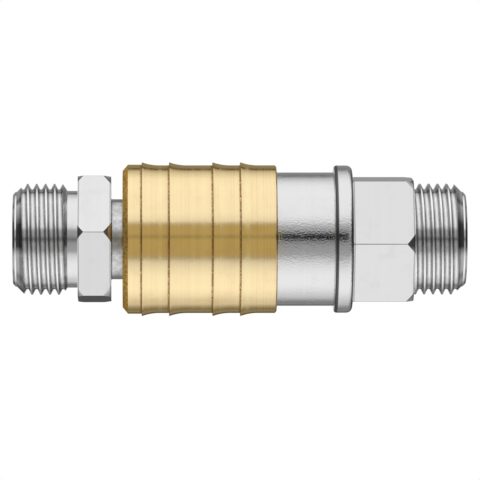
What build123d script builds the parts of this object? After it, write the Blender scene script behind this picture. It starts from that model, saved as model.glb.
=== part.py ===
from build123d import *
from math import atan, cos, degrees, radians, sin, sqrt, tan
import os

os.makedirs("parts", exist_ok=True)

# A pneumatic quick coupling: a socket with a sliding locking sleeve and a shut-off valve, and the
# threaded plug that is locked in it.
# X runs along the axis from the plug to the socket, and Z is up. The origin is on the axis, at the
# sealing shoulder behind the socket's pipe thread.
# Lengths are in millimetres and angles in degrees. A name that ends in _x is a place along the axis.

# Fits
RUNNING_CLEARANCE = 0.05
SEATED_CLEARANCE = 0.02
BALL_CLEARANCE = 0.03

FULL_TURN = 360.0

# Pipe thread G 3/8 and hexagons, alike on both ends
THREAD_DIAMETER = 16.662
THREAD_CHAMFER_LENGTH = 1.4
THREAD_CHAMFER_DEPTH = 1.6
HEX_SIDES = 6
HEX_ACROSS_FLATS = 18.0
HEX_CHAMFER_ANGLE = 31.0
BORE_CHAMFER = 0.4
PIPE_BORE = 10.5
DRILL_POINT_ANGLE = 59.0

# Rear adapter
ADAPTER_THREAD_LENGTH = 7.9
ADAPTER_HEX_LENGTH = 9.1
ADAPTER_HEX_CHAMFER = 1.25
ADAPTER_HEX_TURN = -4.3
SPIGOT_DIAMETER = 16.0
SPIGOT_LENGTH = 3.3
SPIGOT_MOUTH = 13.2
SPIGOT_MOUTH_DEPTH = 2.2

# Socket body
FLANGE_HEIGHT = 1.05
FLANGE_LENGTH = 2.8
FLANGE_FRONT_ROUND = 0.35
FLANGE_REAR_ROUND = 0.85
FLANGE_ROOT_ROUND = 0.4
BARREL_LENGTH = 11.7
BARREL_EDGE = 0.3
CHAMBER_DIAMETER = 14.0
TUBE_LIP = 1.1
MOUTH_CHAMFER = 0.6

# Seal between the socket body and the adapter
GASKET_GROOVE_DEPTH = 1.0
GASKET_SQUEEZE_GAP = 0.03
GASKET_WIRE = 0.84

# Locking balls
BALL_COUNT = 8
BALL_DIAMETER = 3.0
BALL_COVER = 0.3
BALL_LIP = 0.01
BALL_LIP_HEIGHT = 0.45
LOCK_GROOVE_DEPTH = 1.2
RELEASED_BALL_SPACE = 0.1

# Locking sleeve
SLEEVE_TRAVEL = 5.0
SLEEVE_WALL = 1.025
SLEEVE_FRONT_RISE = 0.1
SLEEVE_OVERHANG = 0.7
SLEEVE_OVERLAP = 3.15
SLEEVE_FRONT_CHAMFER = 0.8
SLEEVE_FRONT_CHAMFER_DEPTH = 0.95
SLEEVE_EDGE = 0.2
RIDGE_HEIGHT = 0.475
RIDGE_FALL = 2.7
RIDGE_GAPS = (2.85, 4.1, 6.5, 4.15)
LAND_LENGTH = 3.8
LAND_LEAD = 1.0
RAMP_EXTRA_ANGLE = 1.5
RING_SEAT_ANGLE = 30.0
RING_SEAT_HEIGHT = 0.4

# Retaining ring and springs
RING_WIRE = 1.2
RING_SINK = 0.1
RING_GAP_ANGLE = 24.0
SLEEVE_SPRING_LENGTH = 11.8
SLEEVE_SPRING_WIRE = 1.2
SLEEVE_SPRING_COILS = 3
SLEEVE_SPRING_PLAY = 0.35
VALVE_SPRING_DIAMETER = 8.4
VALVE_SPRING_WIRE = 0.7
VALVE_SPRING_COILS = 4
CLOSED_COIL_GAP = 0.05

# Plug
PLUG_NECK_DIAMETER = 12.0
PLUG_NOSE_DIAMETER = 10.0
PLUG_BORE = 7.5
PLUG_THREAD_LENGTH = 8.0
PLUG_RELIEF_DIAMETER = 14.5
PLUG_RELIEF_LENGTH = 1.7
PLUG_HEX_LENGTH = 5.0
PLUG_HEX_CHAMFERS = (0.75, 1.0)
PLUG_HEX_TURN = 6.1
PLUG_NECK_LENGTH = 6.95
PLUG_COLLAR_REACH = 3.4
PLUG_NOSE_LENGTH = 7.05
PLUG_STEP_GAP = 0.2
PLUG_EDGE = 0.25

# Seal on the plug's nose
NOSE_SEAL_INSET = 1.8
NOSE_SEAL_WIRE = 1.71
NOSE_SEAL_SIDE_PLAY = 0.25
VALVE_SEAT_INSET = 1.45

# Valve
CAGE_FLOW_GAP = 0.35
CAGE_WALL = 0.95
CAGE_LENGTH = 4.0
WINDOW_LENGTH = 2.8
WINDOW_WIDTH = 4.6
WINDOW_INSET = 0.8
VALVE_LIP_DIAMETER = 10.6
VALVE_LIP_THICKNESS = 0.4
VALVE_SEAL_FLOOR = 9.8
VALVE_SEAL_WIRE = 1.16
VALVE_SEAL_PLAY = 0.02
VALVE_HEAD_DIAMETER = 11.9
VALVE_HEAD_THICKNESS = 1.1
SPRING_BOSS_PLAY = 0.35
SPRING_BOSS_HEIGHT = 1.0
STEM_DIAMETER = 4.0
STEM_LENGTH = 13.4

# Valve guide
GUIDE_THICKNESS = 1.2
GUIDE_RIM_WIDTH = 1.35
GUIDE_HUB_DIAMETER = 9.6
GUIDE_ARM_WIDTH = 1.6
GUIDE_ARM_COUNT = 3

# Radii of the fits
thread_radius = THREAD_DIAMETER / 2
neck_radius = PLUG_NECK_DIAMETER / 2
socket_bore_radius = neck_radius + RUNNING_CLEARANCE
nose_radius = PLUG_NOSE_DIAMETER / 2
nose_bore_radius = nose_radius + RUNNING_CLEARANCE
plug_bore_radius = PLUG_BORE / 2
pipe_bore_radius = PIPE_BORE / 2
lock_groove_radius = neck_radius - LOCK_GROOVE_DEPTH
ball_radius = BALL_DIAMETER / 2
ball_rest_radius = lock_groove_radius + RUNNING_CLEARANCE + ball_radius
ball_released_radius = ball_rest_radius + LOCK_GROOVE_DEPTH
tube_radius = ball_rest_radius + ball_radius + BALL_COVER
sleeve_bore_radius = tube_radius + SLEEVE_SPRING_WIRE + 2 * SLEEVE_SPRING_PLAY
sleeve_spring_radius = (tube_radius + sleeve_bore_radius) / 2
barrel_radius = sleeve_bore_radius - RUNNING_CLEARANCE
flange_radius = barrel_radius + FLANGE_HEIGHT
chamber_radius = CHAMBER_DIAMETER / 2
spigot_radius = SPIGOT_DIAMETER / 2
spigot_bore_radius = spigot_radius + SEATED_CLEARANCE
gasket_radius = spigot_radius + GASKET_SQUEEZE_GAP + GASKET_WIRE / 2
gasket_groove_radius = gasket_radius + GASKET_WIRE / 2 + GASKET_SQUEEZE_GAP
land_radius = tube_radius + RUNNING_CLEARANCE
sleeve_relief_radius = ball_released_radius + ball_radius + RELEASED_BALL_SPACE
ring_seat_radius = land_radius + RING_SEAT_HEIGHT
stem_radius = STEM_DIAMETER / 2
valve_spring_radius = VALVE_SPRING_DIAMETER / 2
spring_boss_radius = valve_spring_radius - VALVE_SPRING_WIRE / 2 - SPRING_BOSS_PLAY

# Places along the axis, from the sealing shoulder at the origin towards the plug
flange_x = -ADAPTER_HEX_LENGTH - FLANGE_LENGTH
body_end_x = -ADAPTER_HEX_LENGTH
spring_seat_x = flange_x - BARREL_LENGTH
sleeve_shoulder_x = spring_seat_x - SLEEVE_SPRING_LENGTH
ramp_x = sleeve_shoulder_x - LAND_LENGTH
ball_x = ramp_x + LAND_LEAD

# The ramp drives the balls, so its slope is a little more than their lift over the sleeve's travel.
ramp_slope = tan(atan(LOCK_GROOVE_DEPTH / SLEEVE_TRAVEL) + radians(RAMP_EXTRA_ANGLE))
ring_seat_slope = tan(radians(RING_SEAT_ANGLE))
ring_seat_x = ramp_x - RING_SEAT_HEIGHT / ramp_slope
relief_x = ring_seat_x - (sleeve_relief_radius - ring_seat_radius) / ring_seat_slope

# The retaining ring's wire stands off the sleeve's conical seat by the running clearance.
ring_radius = tube_radius - RING_SINK
ring_seat_distance = RING_WIRE / 2 + RUNNING_CLEARANCE
ring_drop = (ring_seat_radius - ring_radius) * cos(radians(RING_SEAT_ANGLE))
ring_x = ring_seat_x - (ring_seat_distance - ring_drop) / sin(radians(RING_SEAT_ANGLE))
ring_groove_wire_radius = RING_WIRE / 2 + SEATED_CLEARANCE
tube_front_x = ring_x - ring_groove_wire_radius - TUBE_LIP
sleeve_front_x = tube_front_x - SLEEVE_OVERHANG
sleeve_rear_x = spring_seat_x + SLEEVE_OVERLAP

# The plug's collar, cone and nose, and the socket's bores around them
plug_hex_x = ball_x - PLUG_NECK_LENGTH
collar_end_x = ball_x + PLUG_COLLAR_REACH
nose_start_x = collar_end_x + neck_radius - nose_radius
nose_end_x = nose_start_x + PLUG_NOSE_LENGTH
bore_step_x = nose_start_x + PLUG_STEP_GAP
nose_seal_start_x = bore_step_x + NOSE_SEAL_INSET
nose_seal_width = NOSE_SEAL_WIRE + 2 * NOSE_SEAL_SIDE_PLAY
nose_seal_radius = nose_radius + SEATED_CLEARANCE + NOSE_SEAL_WIRE / 2
nose_seal_groove_radius = nose_seal_radius + NOSE_SEAL_WIRE / 2 + SEATED_CLEARANCE
valve_seat_x = nose_end_x - VALVE_SEAT_INSET
chamber_x = valve_seat_x + chamber_radius - nose_bore_radius

# The valve, pushed open by the plug's nose, and its guide, held between the body and the adapter
cage_radius = nose_bore_radius - CAGE_FLOW_GAP
cage_x = nose_end_x + RUNNING_CLEARANCE
valve_lip_x = cage_x + CAGE_LENGTH
valve_seal_x = valve_lip_x + VALVE_LIP_THICKNESS
valve_seal_width = VALVE_SEAL_WIRE + 2 * VALVE_SEAL_PLAY
valve_head_x = valve_seal_x + valve_seal_width
valve_back_x = valve_head_x + VALVE_HEAD_THICKNESS
spigot_x = body_end_x - SPIGOT_LENGTH
guide_x = spigot_x - GUIDE_THICKNESS


def turned(profile, rounds=()):
    """A solid turned about the axis from (x, radius) points; rounds holds (corner, corner radius)."""
    section = make_face(Polyline(*profile, close=True))
    for corner, size in rounds:
        nearest = section.vertices().sort_by_distance((*corner, 0))[0]
        section = fillet(nearest, size)
    return revolve(section, Axis.X)


def hexagon_bar(start_x, length, front_chamfer, rear_chamfer, turn):
    """A chamfered hexagon whose edge on the -Y side is turned up by an angle."""
    corner_radius = HEX_ACROSS_FLATS / sqrt(3)
    edge_angles = [radians(FULL_TURN * (side / HEX_SIDES + 1 / 2) - turn) for side in range(HEX_SIDES)]
    corners = [(corner_radius * cos(angle), corner_radius * sin(angle)) for angle in edge_angles]
    section = make_face(Polyline(*corners, close=True))
    bar = extrude(Plane.YZ.offset(start_x) * section, length)
    end_x = start_x + length
    slope = tan(radians(HEX_CHAMFER_ANGLE))
    envelope = [(start_x, 0), (start_x + front_chamfer, corner_radius)]
    if front_chamfer:
        envelope.insert(1, (start_x, corner_radius - front_chamfer * slope))
    envelope += [
        (end_x - rear_chamfer, corner_radius),
        (end_x, corner_radius - rear_chamfer * slope),
        (end_x, 0),
    ]
    return bar & turned(envelope)


def coil(start_x, pitch, turns, mean_radius, wire):
    """Round wire wound about the axis from a place on it, with both ends cut square to the coil."""
    path = Helix(pitch, pitch * turns, mean_radius, center=(start_x, 0, 0), direction=(1, 0, 0))
    start = path @ 0
    along_wire = Vector(1, 0, 0).cross(Vector(0, start.Y, start.Z))
    section = Plane(start, x_dir=(1, 0, 0), z_dir=along_wire) * Circle(wire / 2)
    return sweep(section, path=path, is_frenet=True)


def coil_spring(start_x, end_x, mean_radius, wire, working_coils):
    """A compression spring with a closed coil at each end, ground flat against both seats."""
    closed_pitch = wire + CLOSED_COIL_GAP
    end_rise = closed_pitch - wire / 4
    length = end_x - start_x
    working_pitch = (length - 2 * end_rise) / working_coils
    working = coil(start_x + end_rise, working_pitch, working_coils, mean_radius, wire)
    beyond_seat = Pos(end_x + wire, 0, 0) * Box(2 * wire, 4 * mean_radius, 4 * mean_radius)
    closed = coil(end_x - end_rise, closed_pitch, 1, mean_radius, wire) - beyond_seat
    # The other end is this one turned half round, about the line through the coils' meeting points.
    junction = Helix(1, 1, mean_radius, direction=(1, 0, 0)) @ 0
    middle_line = Axis(((start_x + end_x) / 2, 0, 0), (0, junction.Y, junction.Z))
    return working + closed + closed.rotate(middle_line, FULL_TURN / 2)


def seal_ring(centre_x, radius, wire):
    """An O-ring about the axis."""
    return revolve(Pos(centre_x, radius) * Circle(wire / 2), Axis.X)


def ball_angle(number):
    """The angle of a ball about the axis, from the top."""
    return FULL_TURN * (number + 1 / 2) / BALL_COUNT


def make_plug_body():
    """The threaded plug: pipe thread, relief, hexagon, neck, ball groove, collar and nose."""
    thread_end_x = plug_hex_x - PLUG_HEX_LENGTH - PLUG_RELIEF_LENGTH
    end_x = thread_end_x - PLUG_THREAD_LENGTH
    relief_radius = PLUG_RELIEF_DIAMETER / 2
    # A ball touches neither flank of the groove, which stand at 45 degrees.
    flank_reach = (ball_radius + BALL_CLEARANCE) * sqrt(2) - ball_rest_radius
    top_reach = flank_reach + neck_radius
    floor_reach = flank_reach + lock_groove_radius
    outside = turned(
        [
            (end_x, 0),
            (end_x, thread_radius - THREAD_CHAMFER_DEPTH),
            (end_x + THREAD_CHAMFER_LENGTH, thread_radius),
            (thread_end_x - (thread_radius - relief_radius), thread_radius),
            (thread_end_x, relief_radius),
            (plug_hex_x - PLUG_HEX_LENGTH / 2, relief_radius),
            (plug_hex_x - PLUG_HEX_LENGTH / 2, neck_radius),
            (ball_x - top_reach, neck_radius),
            (ball_x - floor_reach, lock_groove_radius),
            (ball_x + floor_reach, lock_groove_radius),
            (ball_x + top_reach, neck_radius),
            (collar_end_x, neck_radius),
            (nose_start_x, nose_radius),
            (nose_end_x - PLUG_EDGE, nose_radius),
            (nose_end_x, nose_radius - PLUG_EDGE),
            (nose_end_x, 0),
        ]
    )
    front_chamfer, rear_chamfer = PLUG_HEX_CHAMFERS
    hexagon = hexagon_bar(
        plug_hex_x - PLUG_HEX_LENGTH, PLUG_HEX_LENGTH, front_chamfer, rear_chamfer, PLUG_HEX_TURN
    )
    wide_bore_end_x = plug_hex_x - PLUG_HEX_LENGTH / 2
    drill_point = (pipe_bore_radius - plug_bore_radius) / tan(radians(DRILL_POINT_ANGLE))
    bore = turned(
        [
            (end_x, 0),
            (end_x, pipe_bore_radius + BORE_CHAMFER),
            (end_x + BORE_CHAMFER, pipe_bore_radius),
            (wide_bore_end_x - drill_point, pipe_bore_radius),
            (wide_bore_end_x, plug_bore_radius),
            (nose_end_x - PLUG_EDGE, plug_bore_radius),
            (nose_end_x, plug_bore_radius + PLUG_EDGE),
            (nose_end_x, 0),
        ]
    )
    return outside + hexagon - bore


def make_socket_body():
    """The socket's body: ball tube, barrel, flange, bores, valve seat and seal grooves."""
    outside = turned(
        [
            (tube_front_x, 0),
            (tube_front_x, tube_radius - BARREL_EDGE),
            (tube_front_x + BARREL_EDGE, tube_radius),
            (spring_seat_x, tube_radius),
            (spring_seat_x, barrel_radius - BARREL_EDGE),
            (spring_seat_x + BARREL_EDGE, barrel_radius),
            (flange_x, barrel_radius),
            (flange_x, flange_radius),
            (body_end_x, flange_radius),
            (body_end_x, 0),
        ],
        rounds=[
            ((flange_x, barrel_radius), FLANGE_ROOT_ROUND),
            ((flange_x, flange_radius), FLANGE_FRONT_ROUND),
            ((body_end_x, flange_radius), FLANGE_REAR_ROUND),
        ],
    )
    gasket_groove_x = body_end_x - GASKET_GROOVE_DEPTH
    bore = turned(
        [
            (tube_front_x, 0),
            (tube_front_x, socket_bore_radius + MOUTH_CHAMFER),
            (tube_front_x + MOUTH_CHAMFER, socket_bore_radius),
            (bore_step_x, socket_bore_radius),
            (bore_step_x, nose_bore_radius),
            (valve_seat_x, nose_bore_radius),
            (chamber_x, chamber_radius),
            (guide_x, chamber_radius),
            (guide_x, spigot_bore_radius),
            (gasket_groove_x, spigot_bore_radius),
            (gasket_groove_x, gasket_groove_radius),
            (body_end_x, gasket_groove_radius),
            (body_end_x, 0),
        ]
    )
    seal_groove = turned(
        [
            (nose_seal_start_x, nose_radius),
            (nose_seal_start_x, nose_seal_groove_radius),
            (nose_seal_start_x + nose_seal_width, nose_seal_groove_radius),
            (nose_seal_start_x + nose_seal_width, nose_radius),
        ]
    )
    groove_width = 2 * ring_groove_wire_radius
    groove_walls = Pos(ring_x, ring_radius + ring_groove_wire_radius) * Rectangle(groove_width, groove_width)
    ring_groove = revolve(groove_walls + Pos(ring_x, ring_radius) * Circle(ring_groove_wire_radius), Axis.X)
    body = outside - bore - seal_groove - ring_groove
    hole_radius = ball_radius + BALL_CLEARANCE
    lip_radius = ball_radius - BALL_LIP
    hole_profile = [
        (0, lock_groove_radius),
        (lip_radius, lock_groove_radius),
        (lip_radius, neck_radius),
        (hole_radius, neck_radius + BALL_LIP_HEIGHT),
        (hole_radius, sleeve_relief_radius),
        (0, sleeve_relief_radius),
    ]
    ball_hole = revolve(make_face(Plane.XZ * Polyline(*hole_profile, close=True)), Axis.Z)
    for number in range(BALL_COUNT):
        body -= Rot(ball_angle(number), 0, 0) * Pos(ball_x, 0, 0) * ball_hole
    return body


def make_rear_adapter():
    """The adapter screwed into the body: spigot, hexagon, pipe thread and bore."""
    end_x = ADAPTER_THREAD_LENGTH
    outside = turned(
        [
            (spigot_x, 0),
            (spigot_x, spigot_radius),
            (body_end_x / 2, spigot_radius),
            (body_end_x / 2, thread_radius),
            (end_x - THREAD_CHAMFER_LENGTH, thread_radius),
            (end_x, thread_radius - THREAD_CHAMFER_DEPTH),
            (end_x, 0),
        ]
    )
    hexagon = hexagon_bar(body_end_x, ADAPTER_HEX_LENGTH, 0, ADAPTER_HEX_CHAMFER, ADAPTER_HEX_TURN)
    mouth_radius = SPIGOT_MOUTH / 2
    mouth_end_x = spigot_x + SPIGOT_MOUTH_DEPTH
    drill_point = (mouth_radius - pipe_bore_radius) / tan(radians(DRILL_POINT_ANGLE))
    bore = turned(
        [
            (spigot_x, 0),
            (spigot_x, mouth_radius),
            (mouth_end_x, mouth_radius),
            (mouth_end_x + drill_point, pipe_bore_radius),
            (end_x - BORE_CHAMFER, pipe_bore_radius),
            (end_x, pipe_bore_radius + BORE_CHAMFER),
            (end_x, 0),
        ]
    )
    return outside + hexagon - bore


def make_locking_sleeve():
    """The grip sleeve, with its saw-tooth ridges and the ramp that frees the balls."""
    valley_radius = sleeve_bore_radius + SLEEVE_WALL
    front_radius = valley_radius + SLEEVE_FRONT_RISE
    crest_radius = valley_radius + RIDGE_HEIGHT
    with BuildSketch() as section:
        with BuildLine():
            Polyline(
                (sleeve_rear_x - SLEEVE_EDGE, valley_radius),
                (sleeve_rear_x, valley_radius - SLEEVE_EDGE),
                (sleeve_rear_x, sleeve_bore_radius),
                (sleeve_shoulder_x, sleeve_bore_radius),
                (sleeve_shoulder_x, land_radius),
                (ramp_x, land_radius),
                (ring_seat_x, ring_seat_radius),
                (relief_x, sleeve_relief_radius),
                (sleeve_front_x, sleeve_relief_radius),
                (sleeve_front_x, front_radius - SLEEVE_FRONT_CHAMFER_DEPTH),
                (sleeve_front_x + SLEEVE_FRONT_CHAMFER, front_radius),
            )
            line_start = (sleeve_front_x + SLEEVE_FRONT_CHAMFER, front_radius)
            ridge_x = sleeve_front_x
            for gap in RIDGE_GAPS:
                ridge_x += gap
                foot = (ridge_x, line_start[1])
                crest = (ridge_x, crest_radius)
                valley = (ridge_x + RIDGE_FALL, valley_radius)
                Polyline(line_start, foot, crest)
                TangentArc(valley, crest, tangent=(-1, 0))
                line_start = valley
            Line(line_start, (sleeve_rear_x - SLEEVE_EDGE, valley_radius))
        make_face()
    return revolve(section.sketch, Axis.X)


def make_retaining_ring():
    """The split wire ring that stops the sleeve."""
    wire = Pos(ring_x, ring_radius) * Circle(RING_WIRE / 2)
    return Rot(RING_GAP_ANGLE / 2, 0, 0) * revolve(wire, Axis.X, FULL_TURN - RING_GAP_ANGLE)


def make_valve_poppet():
    """The valve: a windowed cage that the plug pushes, a head with a seal groove, and a stem."""
    bore_end_x = valve_lip_x - WINDOW_INSET / 2
    lip_radius = VALVE_LIP_DIAMETER / 2
    floor_radius = VALVE_SEAL_FLOOR / 2
    head_radius = VALVE_HEAD_DIAMETER / 2
    boss_end_x = valve_back_x + SPRING_BOSS_HEIGHT
    stem_end_x = valve_back_x + STEM_LENGTH
    poppet = turned(
        [
            (cage_x, cage_radius - CAGE_WALL),
            (cage_x, cage_radius),
            (valve_lip_x, cage_radius),
            (valve_lip_x, lip_radius),
            (valve_seal_x, lip_radius),
            (valve_seal_x, floor_radius),
            (valve_head_x, floor_radius),
            (valve_head_x, head_radius),
            (valve_back_x, head_radius),
            (valve_back_x, spring_boss_radius),
            (boss_end_x, spring_boss_radius),
            (boss_end_x, stem_radius),
            (stem_end_x - PLUG_EDGE, stem_radius),
            (stem_end_x, stem_radius - PLUG_EDGE),
            (stem_end_x, 0),
            (bore_end_x, 0),
            (bore_end_x, cage_radius - CAGE_WALL),
        ]
    )
    window_x = cage_x + WINDOW_INSET + WINDOW_LENGTH / 2
    for turn in (0, FULL_TURN / 4):
        window = Pos(window_x, 0, 0) * Box(WINDOW_LENGTH, WINDOW_WIDTH, 2 * VALVE_HEAD_DIAMETER)
        poppet -= Rot(turn, 0, 0) * window
    return poppet


def make_valve_guide():
    """The spider that guides the valve's stem: a rim, arms and a bored hub with a spring boss."""
    rim_radius = spigot_radius - SEATED_CLEARANCE
    rim = turned(
        [
            (guide_x, rim_radius - GUIDE_RIM_WIDTH),
            (guide_x, rim_radius),
            (spigot_x, rim_radius),
            (spigot_x, rim_radius - GUIDE_RIM_WIDTH),
        ]
    )
    hub = turned(
        [
            (guide_x - SPRING_BOSS_HEIGHT, 0),
            (guide_x - SPRING_BOSS_HEIGHT, spring_boss_radius),
            (guide_x, spring_boss_radius),
            (guide_x, GUIDE_HUB_DIAMETER / 2),
            (spigot_x, GUIDE_HUB_DIAMETER / 2),
            (spigot_x, spring_boss_radius),
            (spigot_x + SPRING_BOSS_HEIGHT, spring_boss_radius),
            (spigot_x + SPRING_BOSS_HEIGHT, 0),
        ]
    )
    guide = rim + hub
    arm_length = rim_radius - GUIDE_RIM_WIDTH / 2
    arm = Pos(guide_x + GUIDE_THICKNESS / 2, 0, arm_length / 2) * Box(
        GUIDE_THICKNESS, GUIDE_ARM_WIDTH, arm_length
    )
    for number in range(GUIDE_ARM_COUNT):
        guide += Rot(FULL_TURN * number / GUIDE_ARM_COUNT, 0, 0) * arm
    stem_bore_radius = stem_radius + RUNNING_CLEARANCE
    bore_start_x = guide_x - SPRING_BOSS_HEIGHT
    bore_length = GUIDE_THICKNESS + 2 * SPRING_BOSS_HEIGHT
    return guide - extrude(Plane.YZ.offset(bore_start_x) * Circle(stem_bore_radius), bore_length)


parts = {
    "plug_body": make_plug_body(),
    "socket_body": make_socket_body(),
    "rear_adapter": make_rear_adapter(),
    "locking_sleeve": make_locking_sleeve(),
    "retaining_ring": make_retaining_ring(),
    "sleeve_spring": coil_spring(
        sleeve_shoulder_x, spring_seat_x, sleeve_spring_radius, SLEEVE_SPRING_WIRE, SLEEVE_SPRING_COILS
    ),
    "nose_oring": seal_ring(nose_seal_start_x + nose_seal_width / 2, nose_seal_radius, NOSE_SEAL_WIRE),
    "adapter_oring": seal_ring(body_end_x - GASKET_GROOVE_DEPTH / 2, gasket_radius, GASKET_WIRE),
    "valve_poppet": make_valve_poppet(),
    "poppet_oring": seal_ring(
        valve_seal_x + valve_seal_width / 2,
        VALVE_SEAL_FLOOR / 2 + VALVE_SEAL_PLAY + VALVE_SEAL_WIRE / 2,
        VALVE_SEAL_WIRE,
    ),
    "valve_spring": coil_spring(
        valve_back_x, guide_x, valve_spring_radius, VALVE_SPRING_WIRE, VALVE_SPRING_COILS
    ),
    "valve_guide": make_valve_guide(),
}
for number in range(BALL_COUNT):
    ball = Pos(ball_x, 0, ball_rest_radius) * Sphere(ball_radius)
    parts[f"locking_ball_{number + 1}"] = Rot(ball_angle(number), 0, 0) * ball

for name, solid in parts.items():
    export_step(solid, f"parts/{name}.step")

print("ball plane", round(ball_x, 3), "ramp angle", round(degrees(atan(ramp_slope)), 2))
print("retaining ring", round(ring_x, 3), "sleeve", round(sleeve_front_x, 3), round(sleeve_rear_x, 3))
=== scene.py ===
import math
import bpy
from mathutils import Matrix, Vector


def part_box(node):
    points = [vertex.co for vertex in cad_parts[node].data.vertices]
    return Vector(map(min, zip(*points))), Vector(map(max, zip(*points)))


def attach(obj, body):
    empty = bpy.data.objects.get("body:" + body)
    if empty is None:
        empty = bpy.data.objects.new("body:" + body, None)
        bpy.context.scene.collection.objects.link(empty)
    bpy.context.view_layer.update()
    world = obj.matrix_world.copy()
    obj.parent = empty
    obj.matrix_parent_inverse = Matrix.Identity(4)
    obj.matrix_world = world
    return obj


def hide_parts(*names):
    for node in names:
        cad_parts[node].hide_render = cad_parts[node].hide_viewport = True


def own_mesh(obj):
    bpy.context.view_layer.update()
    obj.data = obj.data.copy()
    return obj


bl_info = {
    "name": "Pneumatic Quick Coupling",
    "version": (1, 0, 0),
    "blender": (4, 5, 0),
    "location": "View3D > Sidebar > Coupling",
    "description": "Models and finishes the pieces of a quick coupling around its packed frame",
    "category": "Object",
}

import bmesh
import bpy
from mathutils import Matrix, Vector

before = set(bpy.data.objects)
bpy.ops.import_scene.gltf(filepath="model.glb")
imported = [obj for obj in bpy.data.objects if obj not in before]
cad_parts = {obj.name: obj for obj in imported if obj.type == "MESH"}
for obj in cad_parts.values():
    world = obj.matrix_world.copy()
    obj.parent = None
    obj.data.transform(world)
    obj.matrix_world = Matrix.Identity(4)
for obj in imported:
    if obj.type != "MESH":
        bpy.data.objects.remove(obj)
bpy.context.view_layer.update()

# Pieces are modelled in millimetres about the X axis, from the plug on the left to the adapter on the
# right, and finish_piece brings them to the frame's metres. A name that ends in _x is a place on the
# axis.
MM = 0.001
FULL_TURN = 2 * math.pi
MERGE_DISTANCE = 0.001
TURNED_SMOOTH_ANGLE = math.radians(28)
ROUND_SMOOTH_ANGLE = math.radians(40)


def reach(node):
    """The first and last place of a node along the axis, in millimetres."""
    low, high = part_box(node)
    return low[0] / MM, high[0] / MM


plug_end_x, nose_end_x = reach("plug_body")
tube_front_x, body_end_x = reach("socket_body")
spigot_x, adapter_end_x = reach("rear_adapter")
sleeve_front_x, sleeve_rear_x = reach("locking_sleeve")
spring_front_x, spring_seat_x = reach("sleeve_spring")
ring_x = sum(reach("retaining_ring")) / 2
ball_x = sum(reach("locking_ball_1")) / 2
nose_seal_x = sum(reach("nose_oring")) / 2

# Fits, and how far cutting shapes reach past what they cut
RUNNING_CLEARANCE = 0.05
CUT_MARGIN = 1.0

# Pipe thread
THREAD_RADIUS = 8.331
THREAD_CORE_RADIUS = 7.331
THREAD_END = ((0, 6.72), (0.33, 7.08), (0.56, 7.12))
THREAD_CORE_INSET = 2.8
THREAD_FLANK_ANGLE = math.radians(27.5)
THREAD_STEPS = 144
THREAD_ARC_STEPS = 4
PLUG_CREST_X = -55.0
ADAPTER_CREST_X = 3.75

# Hexagons
HEX_SIDES = 6
HEX_CHAMFER_SLOPE = math.tan(math.radians(31))
HEX_CUT_MARGIN = 0.3
HEX_EDGE_SEGMENTS = 3

# Plug
PLUG_HEX_X = ball_x - 6.95
PLUG_HEX_LENGTH = 5.0
PLUG_HEX_CHAMFERS = (0.9, 1.2)
PLUG_HEX_TURN = math.radians(6.1)
PLUG_RELIEF_RADIUS = 7.25
PLUG_RELIEF_LENGTH = 1.55
PLUG_RUN_DOWN = 0.78
NECK_RADIUS = 6.0
NECK_FILLET = 0.3
NOSE_RADIUS = 5.0
NOSE_START_X = ball_x + 4.4
PLUG_EDGE = 0.25
PLUG_BORE_RADIUS = 3.75
PIPE_BORE_RADIUS = 5.25
BORE_CHAMFER = 0.4
DRILL_POINT_SLOPE = math.tan(math.radians(59))
LOCK_GROOVE_DEPTH = 1.2
LOCK_GROOVE_TOP_REACH = 1.814
LOCK_GROOVE_FLOOR_REACH = 0.614

# Socket body
TUBE_RADIUS = 8.15
SOCKET_BORE_RADIUS = NECK_RADIUS + RUNNING_CLEARANCE
NOSE_BORE_RADIUS = NOSE_RADIUS + RUNNING_CLEARANCE
BORE_STEP_X = NOSE_START_X + 0.2
NOSE_SEAL_WIDTH = 2.21
NOSE_SEAL_GROOVE_RADIUS = 6.75
VALVE_SEAT_X = nose_end_x - 1.45
CHAMBER_RADIUS = 7.0
BARREL_RADIUS = 10.0
BARREL_EDGE = 0.3
MOUTH_CHAMFER = 0.6
FLANGE_RADIUS = 11.05
FLANGE_LENGTH = 2.8
FLANGE_FRONT_ROUND = 0.5
FLANGE_REAR_ROUND = 0.85
FLANGE_ROOT_ROUND = 0.15
SPIGOT_BORE_RADIUS = 8.02
GASKET_GROOVE_RADIUS = 8.9
GASKET_GROOVE_DEPTH = 1.0
GUIDE_X = -13.6
RING_GROOVE_HALF_WIDTH = 0.62
RING_GROOVE_RADIUS = 7.43
RING_GROOVE_ROUND = 0.61
BALL_COUNT = 8
BALL_HOLE_RADIUS = 1.53
BALL_LIP_RADIUS = 1.49
BALL_LIP_TOP = 6.45
BALL_HOLE_SIDES = 48

# Rear adapter
ADAPTER_HEX_CHAMFER = 1.25
ADAPTER_HEX_TURN = math.radians(-4.3)
SPIGOT_RADIUS = 8.0
SPIGOT_MOUTH_RADIUS = 6.6
SPIGOT_MOUTH_DEPTH = 2.2

# Locking sleeve
SLEEVE_BORE_RADIUS = 10.05
SLEEVE_RELIEF_RADIUS = 9.15
SLEEVE_LAND_RADIUS = TUBE_RADIUS + RUNNING_CLEARANCE
SLEEVE_RAMP_X = spring_front_x - 3.8
SLEEVE_SEAT_HEIGHT = 0.4
SLEEVE_RAMP_SLOPE = math.tan(math.radians(15))
SLEEVE_SEAT_SLOPE = math.tan(math.radians(30))
SLEEVE_VALLEY_RADIUS = 11.075
SLEEVE_FRONT_RADIUS = 11.175
SLEEVE_FRONT_CHAMFER = 0.8
SLEEVE_FRONT_CHAMFER_DEPTH = 0.95
SLEEVE_EDGE = 0.2
RIDGE_GAPS = (2.85, 4.1, 6.5, 4.15)
RIDGE_ARC_STEPS = 12

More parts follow.
